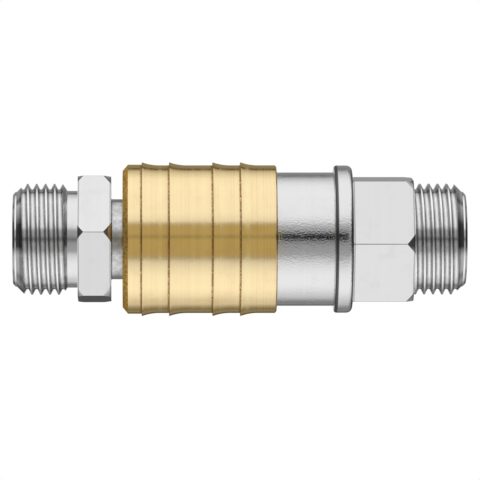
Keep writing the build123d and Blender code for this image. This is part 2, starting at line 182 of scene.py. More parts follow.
# Travels that squeeze the springs
SLEEVE_TRAVEL = 5.0
VALVE_TRAVEL = 1.0

# Finishes, and painted shade and highlights
CHAMFER_BROWN = (0.90, 0.56, 0.16)
CHAMFER_ROUGHNESS = 0.5
CHAMFER_SOFTNESS = 0.1
# A dark brown for the real mottle on the chamfer and for the painted shade at the ridge feet
MOTTLE_AND_SHADE_BROWN = (0.30, 0.16, 0.04)
RIDGE_SHADE_WIDTH = 0.24
SMUDGE_ROUGHNESS = 0.35
# Painted shade: near-black lines inside the hexagons' ends and on the flange's rounded edges
PAINTED_SHADE_LINE = (0.04, 0.04, 0.04)
SHADE_LINE_SOFTNESS = 0.12
# Painted highlight: the pale grey of the thread's crests and roots
PAINTED_THREAD_HIGHLIGHT = (0.97, 0.97, 0.97)
THREAD_ROUGHNESS = 0.1
ADAPTER_TONE = 0.94
BAND_SOFTNESS = 0.05
RUBBER_GRAIN_SCALE = 5000.0
RUBBER_PALE_LEVEL = 0.05
RUBBER_ROUGHNESS = (0.45, 0.7)

# Patches: how many per metre, and the noise levels where they start and where they are full
STAIN_PATCHES = (260.0, 0.45, 0.8)
MOTTLE_PATCHES = (2200.0, 0.42, 0.66)
FOOT_SHADE_PATCHES = (3500.0, 0.25, 0.55)
SMUDGE_PATCHES = (350.0, 0.5, 0.8)
FLANK_SHADE_PATCHES = (900.0, 0.1, 0.5)
SMEAR_PATCHES = (900.0, 0.2, 0.75)

# How far finishes and painted shade and highlights cover what is under them
STAIN_AMOUNT = 0.2
MOTTLE_AMOUNT = 0.7
FOOT_SHADE_AMOUNT = 0.85
SMEAR_AMOUNT = 0.65
FLANK_SHADE_AMOUNT = 0.72
ROOT_HIGHLIGHT_AMOUNT = 0.85
HEX_SHADE_AMOUNT = 0.6
FLANGE_SHADE_AMOUNT = 0.9

# Places of the painted shade lines, from the hexagon's end or the flange's end to the line's two sides
HEX_LINE = (0.07, 0.2)
FLANGE_FRONT_LINE = (0.08, 0.54)
FLANGE_REAR_LINE = (0.07, 0.32)

# Painted thread light: the depths under the crests where the painted flank shade is full and where it
# starts, and the heights over the roots where the painted root highlight is full and where it ends
THREAD_CREST_DEPTHS = (0.2, 0.06)
THREAD_ROOT_HEIGHTS = (0.05, 0.22)


def length_property(name, description, millimetres):
    return bpy.props.FloatProperty(
        name=name, description=description, default=millimetres * MM, precision=5, unit="LENGTH"
    )


def factor_property(name, description, default):
    return bpy.props.FloatProperty(
        name=name, description=description, default=default, subtype="FACTOR", min=0.0, max=1.0
    )


def colour_property(name, description, default):
    return bpy.props.FloatVectorProperty(
        name=name, description=description, default=default, subtype="COLOR", min=0.0, max=1.0
    )


class CouplingSizes(bpy.types.PropertyGroup):
    """Sizes that a user would change on the visible pieces."""

    thread_pitch: length_property(
        "Thread pitch", "Distance between two crests of the pipe threads", 1.337
    )
    thread_depth: length_property("Thread depth", "Height of a thread crest over its root", 0.856)
    thread_rounding: length_property(
        "Thread rounding", "Radius of the thread's rounded crests and roots", 0.184
    )
    hex_width: length_property("Hexagon width", "Width of both hexagons across their flats", 18.0)
    hex_edge: length_property("Hexagon edge", "Width of the broken long edges of the hexagons", 0.12)
    ridge_height: length_property("Ridge height", "Height of the sleeve's grip ridges", 0.475)
    ridge_fall: length_property("Ridge fall", "Length of the hollow slope behind each grip ridge", 2.7)
    edge_round: length_property("Edge rounding", "Radius of the small rounding on turned edges", 0.08)
    turning_steps: bpy.props.IntProperty(
        name="Turning steps",
        description="Number of facets round each turned piece",
        default=192,
        min=48,
        max=360,
    )


class CouplingFinish(bpy.types.PropertyGroup):
    """Colours and roughness of the finishes; the residue colour is also the painted shade on thread
    flanks.
    """

    brass_colour: colour_property("Brass", "Colour of the sleeve's turned brass", (0.99, 0.79, 0.46))
    brass_stain: colour_property(
        "Brass stain", "Colour of the brass where it is stained", (0.55, 0.36, 0.14)
    )
    plating_colour: colour_property(
        "Plating", "Colour of the bright plating on body, plug and adapter", (0.80, 0.80, 0.80)
    )
    # Residue colour: real smudges on the plating and neck, and painted shade on the thread flanks
    residue_and_shade_colour: colour_property(
        "Residue", "Colour of the dark residue on threads, neck and smudges", (0.30, 0.30, 0.30)
    )
    steel_colour: colour_property(
        "Spring steel", "Colour of the springs and the retaining ring", (0.42, 0.42, 0.43)
    )
    rubber_colour: colour_property("Rubber", "Colour of the seals", (0.018, 0.018, 0.019))
    brass_roughness: factor_property("Brass roughness", "Mean roughness of the turned brass", 0.1)
    plating_roughness: factor_property(
        "Plating roughness", "Mean roughness of the bright plating", 0.1
    )


class CouplingStage(bpy.types.PropertyGroup):
    """Camera, floor and light."""

    camera_distance: length_property(
        "Camera distance", "Distance from the camera to the coupling's axis", 808.0
    )
    camera_lens: bpy.props.FloatProperty(
        name="Camera lens", description="Focal length of the camera", default=404.2, unit="CAMERA"
    )
    floor_drop: length_property("Floor drop", "Height of the coupling's axis over the floor", 41.0)
    lamp_power: bpy.props.FloatProperty(
        name="Lamp power", description="Power of the overhead soft lamp", default=0.9, unit="POWER"
    )


def sizes():
    return bpy.context.scene.coupling_sizes


def finish():
    return bpy.context.scene.coupling_finish


def edge_rounding():
    """The radius of the small rounding on turned edges, in millimetres."""
    return sizes().edge_round / MM


# Modelling steps


def deselect_everything():
    if bpy.context.mode != "OBJECT":
        bpy.ops.object.mode_set(mode="OBJECT")
    bpy.ops.object.select_all(action="DESELECT")


def choose(piece):
    deselect_everything()
    piece.select_set(True)
    bpy.context.view_layer.objects.active = piece


def edit(piece):
    """Opens a piece in edit mode with its whole mesh selected."""
    choose(piece)
    bpy.ops.object.mode_set(mode="EDIT")
    bpy.ops.mesh.select_all(action="SELECT")


def apply_modifier(piece, kind, **settings):
    choose(piece)
    bpy.ops.object.modifier_add(type=kind)
    modifier = piece.modifiers[-1]
    for name, value in settings.items():
        setattr(modifier, name, value)
    bpy.ops.object.modifier_apply(modifier=modifier.name)


def start_mesh(name, places, **settings):
    """A ring of vertices at places, in edit mode and selected, with its bmesh."""
    deselect_everything()
    bpy.ops.mesh.primitive_circle_add(vertices=len(places), **settings)
    piece = bpy.context.object
    piece.name = name
    piece.data.name = name
    edit(piece)
    mesh = bmesh.from_edit_mesh(piece.data)
    for vertex, place in zip(mesh.verts, places):
        vertex.co = place
    return piece, mesh


def mesh_outline(name, points, closed):
    """A ring of vertices in edit mode on (x, radius) points above the axis, open or closed."""
    piece, mesh = start_mesh(name, [(x, 0.0, radius) for x, radius in points])
    if not closed:
        mesh.verts.ensure_lookup_table()
        mesh.edges.remove(mesh.edges.get((mesh.verts[-1], mesh.verts[0])))
    bmesh.update_edit_mesh(piece.data)
    bpy.ops.mesh.select_all(action="SELECT")
    return piece


def tidy_mesh():
    """Merges doubles and turns all faces outwards, in edit mode, and goes back to object mode."""
    bpy.ops.mesh.select_all(action="SELECT")
    bpy.ops.mesh.remove_doubles(threshold=MERGE_DISTANCE)
    bpy.ops.mesh.normals_make_consistent(inside=False)
    bpy.ops.object.mode_set(mode="OBJECT")


def turned(name, points, closed=True, steps=None):
    """An outline spun about the axis. An open outline starts and ends on the axis."""
    piece = mesh_outline(name, points, closed)
    steps = steps or sizes().turning_steps
    bpy.ops.mesh.spin(steps=steps, angle=FULL_TURN, center=(0, 0, 0), axis=(1, 0, 0))
    tidy_mesh()
    return piece


def combine(piece, tool, operation):
    """Unites, cuts or trims a piece with a tool, which is used up."""
    apply_modifier(piece, "BOOLEAN", operation=operation, solver="EXACT", object=tool)
    bpy.data.objects.remove(tool, do_unlink=True)


def rounded(corners, arc_steps=4):
    """Points of an outline of (x, radius, rounding) corners, with an arc in each rounded corner."""
    points = []
    for index, (x, radius, rounding) in enumerate(corners):
        corner = Vector((x, radius))
        if rounding == 0:
            points.append(tuple(corner))
            continue
        before = (Vector(corners[index - 1][:2]) - corner).normalized()
        after = (Vector(corners[(index + 1) % len(corners)][:2]) - corner).normalized()
        half_angle = before.angle(after) / 2
        tangent = rounding / math.tan(half_angle)
        centre = corner + (before + after).normalized() * rounding / math.sin(half_angle)
        first = corner + before * tangent - centre
        last = corner + after * tangent - centre
        start_angle = math.atan2(first.y, first.x)
        sweep = (math.atan2(last.y, last.x) - start_angle + math.pi) % FULL_TURN - math.pi
        for step in range(arc_steps + 1):
            angle = start_angle + sweep * step / arc_steps
            points.append((centre.x + rounding * math.cos(angle), centre.y + rounding * math.sin(angle)))
    return points


def finish_piece(piece, material, slot, body, *nodes):
    """Brings a turned piece to metres, shades and paints it, and lets it stand for its nodes."""
    edit(piece)
    bpy.ops.transform.resize(value=(MM, MM, MM), center_override=(0, 0, 0))
    bpy.ops.object.mode_set(mode="OBJECT")
    paint_piece(piece, material, slot, body, *nodes, smooth_angle=TURNED_SMOOTH_ANGLE)


def paint_piece(piece, material, slot, body, *nodes, smooth_angle):
    """Shades and paints a piece that is in metres, and lets it stand for its nodes."""
    choose(piece)
    bpy.ops.object.shade_smooth_by_angle(angle=smooth_angle)
    apply_modifier(piece, "WEIGHTED_NORMAL", keep_sharp=True)
    piece.data.materials.clear()
    piece.data.materials.append(material)
    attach(piece, body)
    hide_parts(*nodes)


def dress_node(node, name, material, slot, body, smooth_angle=ROUND_SMOOTH_ANGLE):
    """A node's own shape as one joined-up mesh, shaded and painted, that stands for the node."""
    piece = bpy.data.objects.new(name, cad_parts[node].data.copy())
    bpy.context.collection.objects.link(piece)
    edit(piece)
    bpy.ops.mesh.remove_doubles(threshold=MERGE_DISTANCE * MM)
    bpy.ops.object.mode_set(mode="OBJECT")
    paint_piece(piece, material, slot, body, node, smooth_angle=smooth_angle)
    return piece


# Threads and hexagons


def thread_profile(start_x):
    """One pitch of the rounded thread, from root to root, as (x, radius) points."""
    pitch = sizes().thread_pitch / MM
    rounding = sizes().thread_rounding / MM
    root_centre = THREAD_RADIUS - sizes().thread_depth / MM + rounding
    crest_centre = THREAD_RADIUS - rounding
    flank = FULL_TURN / 2 - THREAD_FLANK_ANGLE
    points = []
    for step in range(THREAD_ARC_STEPS + 1):
        angle = FULL_TURN / 4 + (flank - FULL_TURN / 4) * step / THREAD_ARC_STEPS
        points.append((start_x - rounding * math.cos(angle), root_centre - rounding * math.sin(angle)))
    for step in range(2 * THREAD_ARC_STEPS + 1):
        angle = flank + (math.pi - 2 * flank) * step / (2 * THREAD_ARC_STEPS)
        x = start_x + pitch / 2 + rounding * math.cos(angle)
        points.append((x, crest_centre + rounding * math.sin(angle)))
    mirrored = [(2 * start_x + pitch - x, radius) for x, radius in points[: THREAD_ARC_STEPS + 1]]
    return points + mirrored[::-1]


def threaded_rod(name, start_x, end_x, crest_x):
    """A rod with a right-hand thread, cut square at both ends. One crest passes the top at crest_x."""
    pitch = sizes().thread_pitch / MM
    first_root_x = crest_x - pitch / 2
    first_root_x -= pitch * math.ceil((first_root_x - start_x) / pitch + 1)
    piece = mesh_outline(name, thread_profile(first_root_x), closed=False)
    helix = {
        "axis": "X",
        "angle": FULL_TURN,
        "screw_offset": pitch,
        "iterations": math.ceil((end_x - first_root_x) / pitch),
    }
    apply_modifier(piece, "SCREW", **helix, steps=THREAD_STEPS, render_steps=THREAD_STEPS)
    edit(piece)
    bpy.ops.mesh.remove_doubles(threshold=MERGE_DISTANCE)
    for place, away in ((start_x, -1), (end_x, 1)):
        bpy.ops.mesh.select_all(action="SELECT")
        bpy.ops.mesh.bisect(
            plane_co=(place, 0, 0), plane_no=(away, 0, 0), use_fill=True, clear_outer=True
        )
    tidy_mesh()
    return piece


def thread_end(end_x, inwards):
    """A thread's turned-down end as (x, radius) points, from the axis to past the crests."""
    top = THREAD_RADIUS + edge_rounding()
    depth, radius = THREAD_END[-1]
    points = [(0, 0), *THREAD_END, (depth + top - radius, top)]
    return [(end_x + inwards * depth, radius) for depth, radius in points]


def hexagon_bar(name, start_x, end_x, front_chamfer, rear_chamfer, turn):
    """A chamfered hexagon whose edge on the -Y side is turned up by an angle."""
    corner_radius = sizes().hex_width / MM / math.sqrt(3)
    angles = [FULL_TURN * (side / HEX_SIDES + 1 / 2) - turn for side in range(HEX_SIDES)]
    corners = [(corner_radius * math.cos(angle), corner_radius * math.sin(angle)) for angle in angles]
    places = [(start_x - CUT_MARGIN, *corner) for corner in corners]
    bar, mesh = start_mesh(name, places, fill_type="NGON")
    bmesh.update_edit_mesh(bar.data)
    bpy.ops.mesh.select_all(action="SELECT")
    length = end_x - start_x + 2 * CUT_MARGIN
    bpy.ops.mesh.extrude_region_move(TRANSFORM_OT_translate={"value": (length, 0, 0)})
    bpy.ops.mesh.select_all(action="DESELECT")
    for edge in bmesh.from_edit_mesh(bar.data).edges:
        first, last = edge.verts
        edge.select_set(abs(first.co.x - last.co.x) > length / 2)
    bmesh.update_edit_mesh(bar.data)
    bpy.ops.mesh.bevel(offset=sizes().hex_edge / MM, segments=HEX_EDGE_SEGMENTS, affect="EDGES")
    tidy_mesh()
    margin_radius = corner_radius + HEX_CUT_MARGIN * HEX_CHAMFER_SLOPE
    outline = [(start_x, 0, 0)]
    if front_chamfer:
        outline.append((start_x, corner_radius - front_chamfer * HEX_CHAMFER_SLOPE, edge_rounding()))
        outline.append((start_x + front_chamfer + HEX_CUT_MARGIN, margin_radius, 0))
    else:
        outline.append((start_x, corner_radius + HEX_CUT_MARGIN, 0))
    outline.append((end_x - rear_chamfer - HEX_CUT_MARGIN, margin_radius, 0))
    outline.append((end_x, corner_radius - rear_chamfer * HEX_CHAMFER_SLOPE, edge_rounding()))
    outline.append((end_x, 0, 0))
    combine(bar, turned("hexagon_envelope", rounded(outline), closed=False), "INTERSECT")
    return bar


def threaded_piece(name, envelope, crest_x, core, hexagon, bore):
    """A thread trimmed to a turned envelope, with a turned core and a hexagon, and bored."""
    places = [x for x, radius in envelope]
    piece = threaded_rod(name, min(places) - CUT_MARGIN, max(places) + CUT_MARGIN, crest_x)
    combine(piece, turned("thread_envelope", envelope, closed=False), "INTERSECT")
    combine(piece, turned(f"{name}_core", core, closed=False), "UNION")
    combine(piece, hexagon_bar(f"{name}_hexagon", *hexagon), "UNION")
    combine(piece, turned(f"{name}_bore", bore, closed=False), "DIFFERENCE")
    return piece


# Shader steps. An input is a value or the output socket that feeds it.


def add_node(tree, kind, inputs=None, **settings):
    """A node with its settings, and with its inputs set or fed."""
    node = tree.nodes.new(f"ShaderNode{kind}")
    for name, value in settings.items():
        setattr(node, name, value)
    for socket, value in (inputs or {}).items():
        if isinstance(value, bpy.types.NodeSocket):
            tree.links.new(value, node.inputs[socket])
        else:
            node.inputs[socket].default_value = value
    return node


def calculate(tree, operation, *inputs, clamp=False):
    """The output of a Math node."""
    numbered = dict(enumerate(inputs))
    return add_node(tree, "Math", numbered, operation=operation, use_clamp=clamp).outputs[0]


def vector_length(tree, vector):
    return add_node(tree, "VectorMath", {0: vector}, operation="LENGTH").outputs["Value"]


def ramp(tree, value, start, full, low=0.0, high=1.0, smooth=False):
    """A value's way from low at start to high at full."""
    inputs = {"Value": value, "From Min": start, "From Max": full, "To Min": low, "To Max": high}
    kind = "SMOOTHSTEP" if smooth else "LINEAR"
    return add_node(tree, "MapRange", inputs, interpolation_type=kind).outputs["Result"]


def noise(tree, place, scale, detail, roughness, dimensions="3D"):
    """Noise over a vector, or over a number in one dimension."""
    over = "W" if dimensions == "1D" else "Vector"
    inputs = {over: place, "Scale": scale, "Detail": detail, "Roughness": roughness}
    return add_node(tree, "TexNoise", inputs, noise_dimensions=dimensions).outputs["Fac"]


def coordinates(tree, kind="Object"):
    return add_node(tree, "TexCoord").outputs[kind]


def split(tree, vector):
    """A vector's X, Y and Z outputs."""
    return add_node(tree, "SeparateXYZ", {0: vector}).outputs


def mix_shaders(tree, share, first, second):
    """Two shader outputs mixed, with a share of the second."""
    return add_node(tree, "MixShader", {0: share, 1: first, 2: second}).outputs[0]


def product(tree, masks, amount=1.0):
    """The product of masks and an amount."""
    result = masks[0]
    for factor in (*masks[1:], amount):
        result = calculate(tree, "MULTIPLY", result, factor)
    return result


def opaque(colour):
    return (*colour, 1.0)


def grey(level):
    return (level, level, level, 1.0)


# Shader groups, which give only what varies over a surface

FLOAT = "NodeSocketFloat"
COLOUR = "NodeSocketColor"
NORMAL = "NodeSocketVector"
ZONES_PER_MARK = 0.15


def start_group(name, inputs, outputs):
    """A shader group, the sockets that its inputs come from and those that its outputs go to."""
    tree = bpy.data.node_groups.new(name, "ShaderNodeTree")
    for socket, default in inputs.items():
        kind = FLOAT if isinstance(default, float) else COLOUR
        made = tree.interface.new_socket(name=socket, in_out="INPUT", socket_type=kind)
        made.default_value = default
    for socket, kind in outputs.items():
        tree.interface.new_socket(name=socket, in_out="OUTPUT", socket_type=kind)
    return tree, tree.nodes.new("NodeGroupInput").outputs, tree.nodes.new("NodeGroupOutput").inputs


def turned_metal_group():
    """Lathe marks round the axis, with tone zones, and shallow dimples."""
    tree, given, result = start_group(
        "Turned metal",
        {
            "Colour": grey(0.8),
            "Marks per metre": 5000.0,
            "Mark strength": 0.1,
            "Mark depth": 0.000002,
            "Dimples per metre": 3000.0,
            "Dimple depth": 0.000002,
            "Roughness": 0.15,
            "Roughness change": 0.1,
        },
        {"Colour": COLOUR, "Roughness": FLOAT, "Normal": NORMAL},
    )
    place = coordinates(tree)
    axis = split(tree, place)["X"]
    fine = noise(
        tree, axis, given["Marks per metre"], detail=4.0, roughness=0.65, dimensions="1D"
    )
    zone_scale = calculate(tree, "MULTIPLY", given["Marks per metre"], ZONES_PER_MARK)
    zones = noise(tree, axis, zone_scale, detail=2.0, roughness=0.5, dimensions="1D")
    marks = calculate(tree, "ADD", fine, zones)
    centred = calculate(tree, "SUBTRACT", marks, 1.0)
    brightness = calculate(tree, "MULTIPLY_ADD", centred, given["Mark strength"], 1.0)
    scaled = {"Vector": given["Colour"], "Scale": brightness}
    lit = add_node(tree, "VectorMath", scaled, operation="SCALE")
    tree.links.new(lit.outputs["Vector"], result["Colour"])
    rough = calculate(
        tree, "MULTIPLY_ADD", centred, given["Roughness change"], given["Roughness"], clamp=True
    )
    tree.links.new(rough, result["Roughness"])
    dimples = noise(tree, place, given["Dimples per metre"], detail=1.0, roughness=0.5)
    dimpled = add_node(tree, "Bump", {"Height": dimples, "Distance": given["Dimple depth"]})
    marked = add_node(tree, "Bump", {"Height": marks, "Distance": given["Mark depth"]})
    tree.links.new(dimpled.outputs["Normal"], marked.inputs["Normal"])
    tree.links.new(marked.outputs["Normal"], result["Normal"])
    return tree


def patches_group():
    """A mask of irregular patches, such as stains and smudges."""
    tree, given, result = start_group(
        "Patches", {"Patches per metre": 400.0, "Low": 0.5, "High": 0.7}, {"Mask": FLOAT}
    )
    place = coordinates(tree)
    blotches = noise(tree, place, given["Patches per metre"], detail=5.0, roughness=0.6)
    tree.links.new(ramp(tree, blotches, given["Low"], given["High"], smooth=True), result["Mask"])
    return tree


def axial_band_group():
    """A mask that is 1 between two places along the axis, with soft ends."""
    tree, given, result = start_group(
        "Axial band", {"Start": 0.0, "End": 0.01, "Softness": 0.0001}, {"Mask": FLOAT}
    )
    axis = split(tree, coordinates(tree))["X"]
    steps = []
    for ends in ((axis, given["Start"]), (given["End"], axis)):
        share = calculate(tree, "DIVIDE", calculate(tree, "SUBTRACT", *ends), given["Softness"])
        steps.append(calculate(tree, "ADD", share, 0.5, clamp=True))
    tree.links.new(calculate(tree, "MULTIPLY", *steps), result["Mask"])
    return tree


def inside_radius_group():
    """A mask that is 1 nearer to the axis than one radius and fades to 0 at another."""
    tree, given, result = start_group(
        "Inside radius", {"Full radius": 0.0074, "Clear radius": 0.0081}, {"Mask": FLOAT}
    )
    parts = split(tree, coordinates(tree))
    radial = add_node(tree, "CombineXYZ", {"Y": parts["Y"], "Z": parts["Z"]}).outputs[0]
    radius = vector_length(tree, radial)
    mask = ramp(tree, radius, given["Clear radius"], given["Full radius"], smooth=True)
    tree.links.new(mask, result["Mask"])
    return tree


GROUP_MAKERS = {
    "Turned metal": turned_metal_group,
    "Patches": patches_group,
    "Axial band": axial_band_group,
    "Inside radius": inside_radius_group,
}


def place_group(material, name, **values):
    """The outputs of a group placed in a material, and made when it is first used."""
    node = material.node_tree.nodes.new("ShaderNodeGroup")
    node.node_tree = bpy.data.node_groups.get(name) or GROUP_MAKERS[name]()
    for socket, value in values.items():
        node.inputs[socket.replace("_", " ").capitalize()].default_value = value
    return node.outputs


def patches(material, per_metre, low, high):
    return place_group(material, "Patches", patches_per_metre=per_metre, low=low, high=high)[0]


def axial_band(material, start_x, end_x, softness):
    return place_group(
        material, "Axial band", start=start_x * MM, end=end_x * MM, softness=softness * MM
    )[0]


def inside_radius(material, full, clear):
    return place_group(
        material, "Inside radius", full_radius=full * MM, clear_radius=clear * MM
    )[0]


# Materials


def start_material(name):
    """A material, its node tree and its Principled shader."""
    material = bpy.data.materials.new(name)
    material.use_nodes = True
    return material, material.node_tree, material.node_tree.nodes["Principled BSDF"]


def metal_material(name, **values):
    """A turned metal; values go to the group's inputs."""
    material, tree, shader = start_material(name)
    metal = place_group(material, "Turned metal", **values)
    shader.inputs["Metallic"].default_value = 1.0
    for socket, output in (("Base Color", "Colour"), ("Roughness", "Roughness"), ("Normal", "Normal")):
        tree.links.new(metal[output], shader.inputs[socket])
    return material


def lay_over(material, masks, amount, colour, roughness):
    """Lays an amount of a colour and a roughness over a metal material, where all masks say so."""
    tree = material.node_tree
    shader = tree.nodes["Principled BSDF"]
    cover = product(tree, masks, amount)
    for socket, kind, below, above, output, value in (
        ("Base Color", "RGBA", 6, 7, 2, opaque(colour)),
        ("Roughness", "FLOAT", 2, 3, 0, roughness),
    ):
        under = shader.inputs[socket].links[0].from_socket
        mixed = add_node(tree, "Mix", {0: cover, below: under, above: value}, data_type=kind)
        tree.links.new(mixed.outputs[output], shader.inputs[socket])


def brass_material(name="turned_brass"):
    material = metal_material(
        name,
        colour=opaque(finish().brass_colour),
        mark_strength=0.24,
        dimples_per_metre=1500.0,
        dimple_depth=0.000004,
        roughness=finish().brass_roughness,
        roughness_change=0.4,
    )
    shader = material.node_tree.nodes["Principled BSDF"]
    shader.inputs["Specular Tint"].default_value = opaque(finish().brass_colour)
    stains = patches(material, *STAIN_PATCHES)
    lay_over(material, (stains,), STAIN_AMOUNT, finish().brass_stain, finish().brass_roughness)
    return material


def sleeve_material():
    """Turned brass with a mottled front chamfer, and painted shade in speckled dark lines at the feet of
    the ridges.
    """
    material = brass_material()
    chamfer = axial_band(
        material,
        sleeve_front_x + CHAMFER_SOFTNESS / 2,
        sleeve_front_x + SLEEVE_FRONT_CHAMFER,
        CHAMFER_SOFTNESS,
    )
    lay_over(material, (chamfer,), 1.0, CHAMFER_BROWN, CHAMFER_ROUGHNESS)
    mottle = patches(material, *MOTTLE_PATCHES)
    lay_over(material, (chamfer, mottle), MOTTLE_AMOUNT, MOTTLE_AND_SHADE_BROWN, CHAMFER_ROUGHNESS)
    foot_speckle = patches(material, *FOOT_SHADE_PATCHES)
    ridge_x = sleeve_front_x
    for gap in RIDGE_GAPS:
        ridge_x += gap
        # Painted shade: a speckled dark brown line in the corner at the foot of each ridge
        shaded_foot = axial_band(
            material,
            ridge_x - RIDGE_SHADE_WIDTH,
            ridge_x + RIDGE_SHADE_WIDTH / 4,
            RIDGE_SHADE_WIDTH / 2,
        )
        lay_over(material, (shaded_foot, foot_speckle), FOOT_SHADE_AMOUNT, MOTTLE_AND_SHADE_BROWN, CHAMFER_ROUGHNESS)
    return material


def plating_material(name, dimple_depth=0.000001, smudge_amount=0.1, tone=1.0):
    """Bright plating with faint smudges; tone makes it darker."""
    material = metal_material(
        name,
        colour=opaque([tone * value for value in finish().plating_colour]),
        mark_strength=0.05,
        mark_depth=0.000001,
        dimples_per_metre=4500.0,
        dimple_depth=dimple_depth,
        roughness=finish().plating_roughness,
        roughness_change=0.06,
    )
    smudges = patches(material, *SMUDGE_PATCHES)
    lay_over(material, (smudges,), smudge_amount, finish().residue_and_shade_colour, SMUDGE_ROUGHNESS)
    return material


def paint_thread_light(material, start_x, end_x):
    """Painted highlights on the crests and roots and painted shade on the flanks of a thread, between
    two places along the axis.
    """
    root_radius = THREAD_RADIUS - sizes().thread_depth / MM
    along = axial_band(material, start_x, end_x, BAND_SOFTNESS)
    dark, unshaded = THREAD_CREST_DEPTHS
    under_crests = inside_radius(material, THREAD_RADIUS - dark, THREAD_RADIUS - unshaded)
    bright, gone = THREAD_ROOT_HEIGHTS
    roots = inside_radius(material, root_radius + bright, root_radius + gone)
    shade_patches = patches(material, *FLANK_SHADE_PATCHES)
    # Painted highlight over the whole thread, painted shade under the crests, and painted highlight
    # again in the roots
    lay_over(material, (along,), 1.0, PAINTED_THREAD_HIGHLIGHT, THREAD_ROUGHNESS)
    lay_over(
        material,
        (along, under_crests, shade_patches),
        FLANK_SHADE_AMOUNT,
        finish().residue_and_shade_colour,
        THREAD_ROUGHNESS,
    )
    lay_over(material, (along, roots), ROOT_HIGHLIGHT_AMOUNT, PAINTED_THREAD_HIGHLIGHT, THREAD_ROUGHNESS)


def paint_shade_line(material, start_x, end_x, amount):
    """Painted shade in a dark line round the axis, between two places along it."""
    line = axial_band(material, start_x, end_x, SHADE_LINE_SOFTNESS)
    lay_over(material, (line,), amount, PAINTED_SHADE_LINE, SMUDGE_ROUGHNESS)


def paint_hexagon_shade_lines(material, start_x, end_x):
    """Painted shade in a thin dark line just inside both ends of a hexagon."""
    near, far = HEX_LINE
    paint_shade_line(material, start_x + near, start_x + far, HEX_SHADE_AMOUNT)
    paint_shade_line(material, end_x - far, end_x - near, HEX_SHADE_AMOUNT)


def plug_material(thread_end_x):
    """Bright plating with painted highlights and shade on its thread, painted shade lines at the
    hexagon's ends and a smudged neck.
    """
    material = plating_material("plug_plating")
    paint_thread_light(material, plug_end_x, thread_end_x)
    paint_hexagon_shade_lines(material, PLUG_HEX_X - PLUG_HEX_LENGTH, PLUG_HEX_X)
    neck = axial_band(material, PLUG_HEX_X, NOSE_START_X, BAND_SOFTNESS)
    smears = patches(material, *SMEAR_PATCHES)
    lay_over(material, (neck, smears), SMEAR_AMOUNT, finish().residue_and_shade_colour, SMUDGE_ROUGHNESS)
    return material


def adapter_material():
    material = plating_material("adapter_plating", tone=ADAPTER_TONE)
    paint_thread_light(material, 0, adapter_end_x)
    # Painted shade lines inside both ends of the hexagon, the first at its joint with the flange
    paint_hexagon_shade_lines(material, body_end_x, 0)
    return material


def body_material():
    """Dimpled plating with a painted shade line at either end of the flange."""
    material = plating_material("body_plating", dimple_depth=0.000032)
    flange_x = body_end_x - FLANGE_LENGTH
    # Painted shade lines on the flange's front and rear rounded edges
    near, far = FLANGE_FRONT_LINE
    paint_shade_line(material, flange_x + near, flange_x + far, FLANGE_SHADE_AMOUNT)
    near, far = FLANGE_REAR_LINE
    paint_shade_line(material, body_end_x - far, body_end_x - near, FLANGE_SHADE_AMOUNT)
    return material


def steel_material():
    return metal_material(
        "spring_wire",
        colour=opaque(finish().steel_colour),
        marks_per_metre=2500.0,
        mark_strength=0.12,
        dimples_per_metre=2000.0,
        dimple_depth=0.000003,
        roughness=0.32,
    )


def rubber_material():
    """Matt black rubber with a fine grain."""
    material, tree, shader = start_material("seal_rubber")
    grain = noise(tree, coordinates(tree), RUBBER_GRAIN_SCALE, detail=3.0, roughness=0.5)
    colours = {0: grain, 6: opaque(finish().rubber_colour), 7: grey(RUBBER_PALE_LEVEL)}
    tone = add_node(tree, "Mix", colours, data_type="RGBA")
    tree.links.new(tone.outputs[2], shader.inputs["Base Color"])
    rough = ramp(tree, grain, 0.0, 1.0, *RUBBER_ROUGHNESS)
    tree.links.new(rough, shader.inputs["Roughness"])
    bump = add_node(tree, "Bump", {"Height": grain, "Distance": 0.00001, "Strength": 0.6})
    tree.links.new(bump.outputs["Normal"], shader.inputs["Normal"])
    return material


# Outlines


def plug_outline():
    """The plug's turned outside, from end to end, without its bore."""
    edge = edge_rounding()
    mid_hex_x = PLUG_HEX_X - PLUG_HEX_LENGTH / 2
    groove_radius = NECK_RADIUS - LOCK_GROOVE_DEPTH
    shoulder_radius = NECK_RADIUS + 1.5 * NECK_FILLET
    core_x = plug_end_x + THREAD_CORE_INSET
    corners = [
        (core_x, 0, 0),
        (core_x, PLUG_RELIEF_RADIUS, 0),
        (mid_hex_x, PLUG_RELIEF_RADIUS, 0),
        (mid_hex_x, shoulder_radius, 0),
        (PLUG_HEX_X - 0.5 * NECK_FILLET, shoulder_radius, 0),
        (PLUG_HEX_X, NECK_RADIUS, NECK_FILLET),
        (ball_x - LOCK_GROOVE_TOP_REACH, NECK_RADIUS, edge),
        (ball_x - LOCK_GROOVE_FLOOR_REACH, groove_radius, edge),
        (ball_x + LOCK_GROOVE_FLOOR_REACH, groove_radius, edge),
        (ball_x + LOCK_GROOVE_TOP_REACH, NECK_RADIUS, edge),
        (NOSE_START_X - (NECK_RADIUS - NOSE_RADIUS), NECK_RADIUS, edge),
        (NOSE_START_X, NOSE_RADIUS, edge),
        (nose_end_x - PLUG_EDGE, NOSE_RADIUS, edge),
        (nose_end_x, NOSE_RADIUS - PLUG_EDGE, 0),
        (nose_end_x, 0, 0),
    ]
    return rounded(corners)


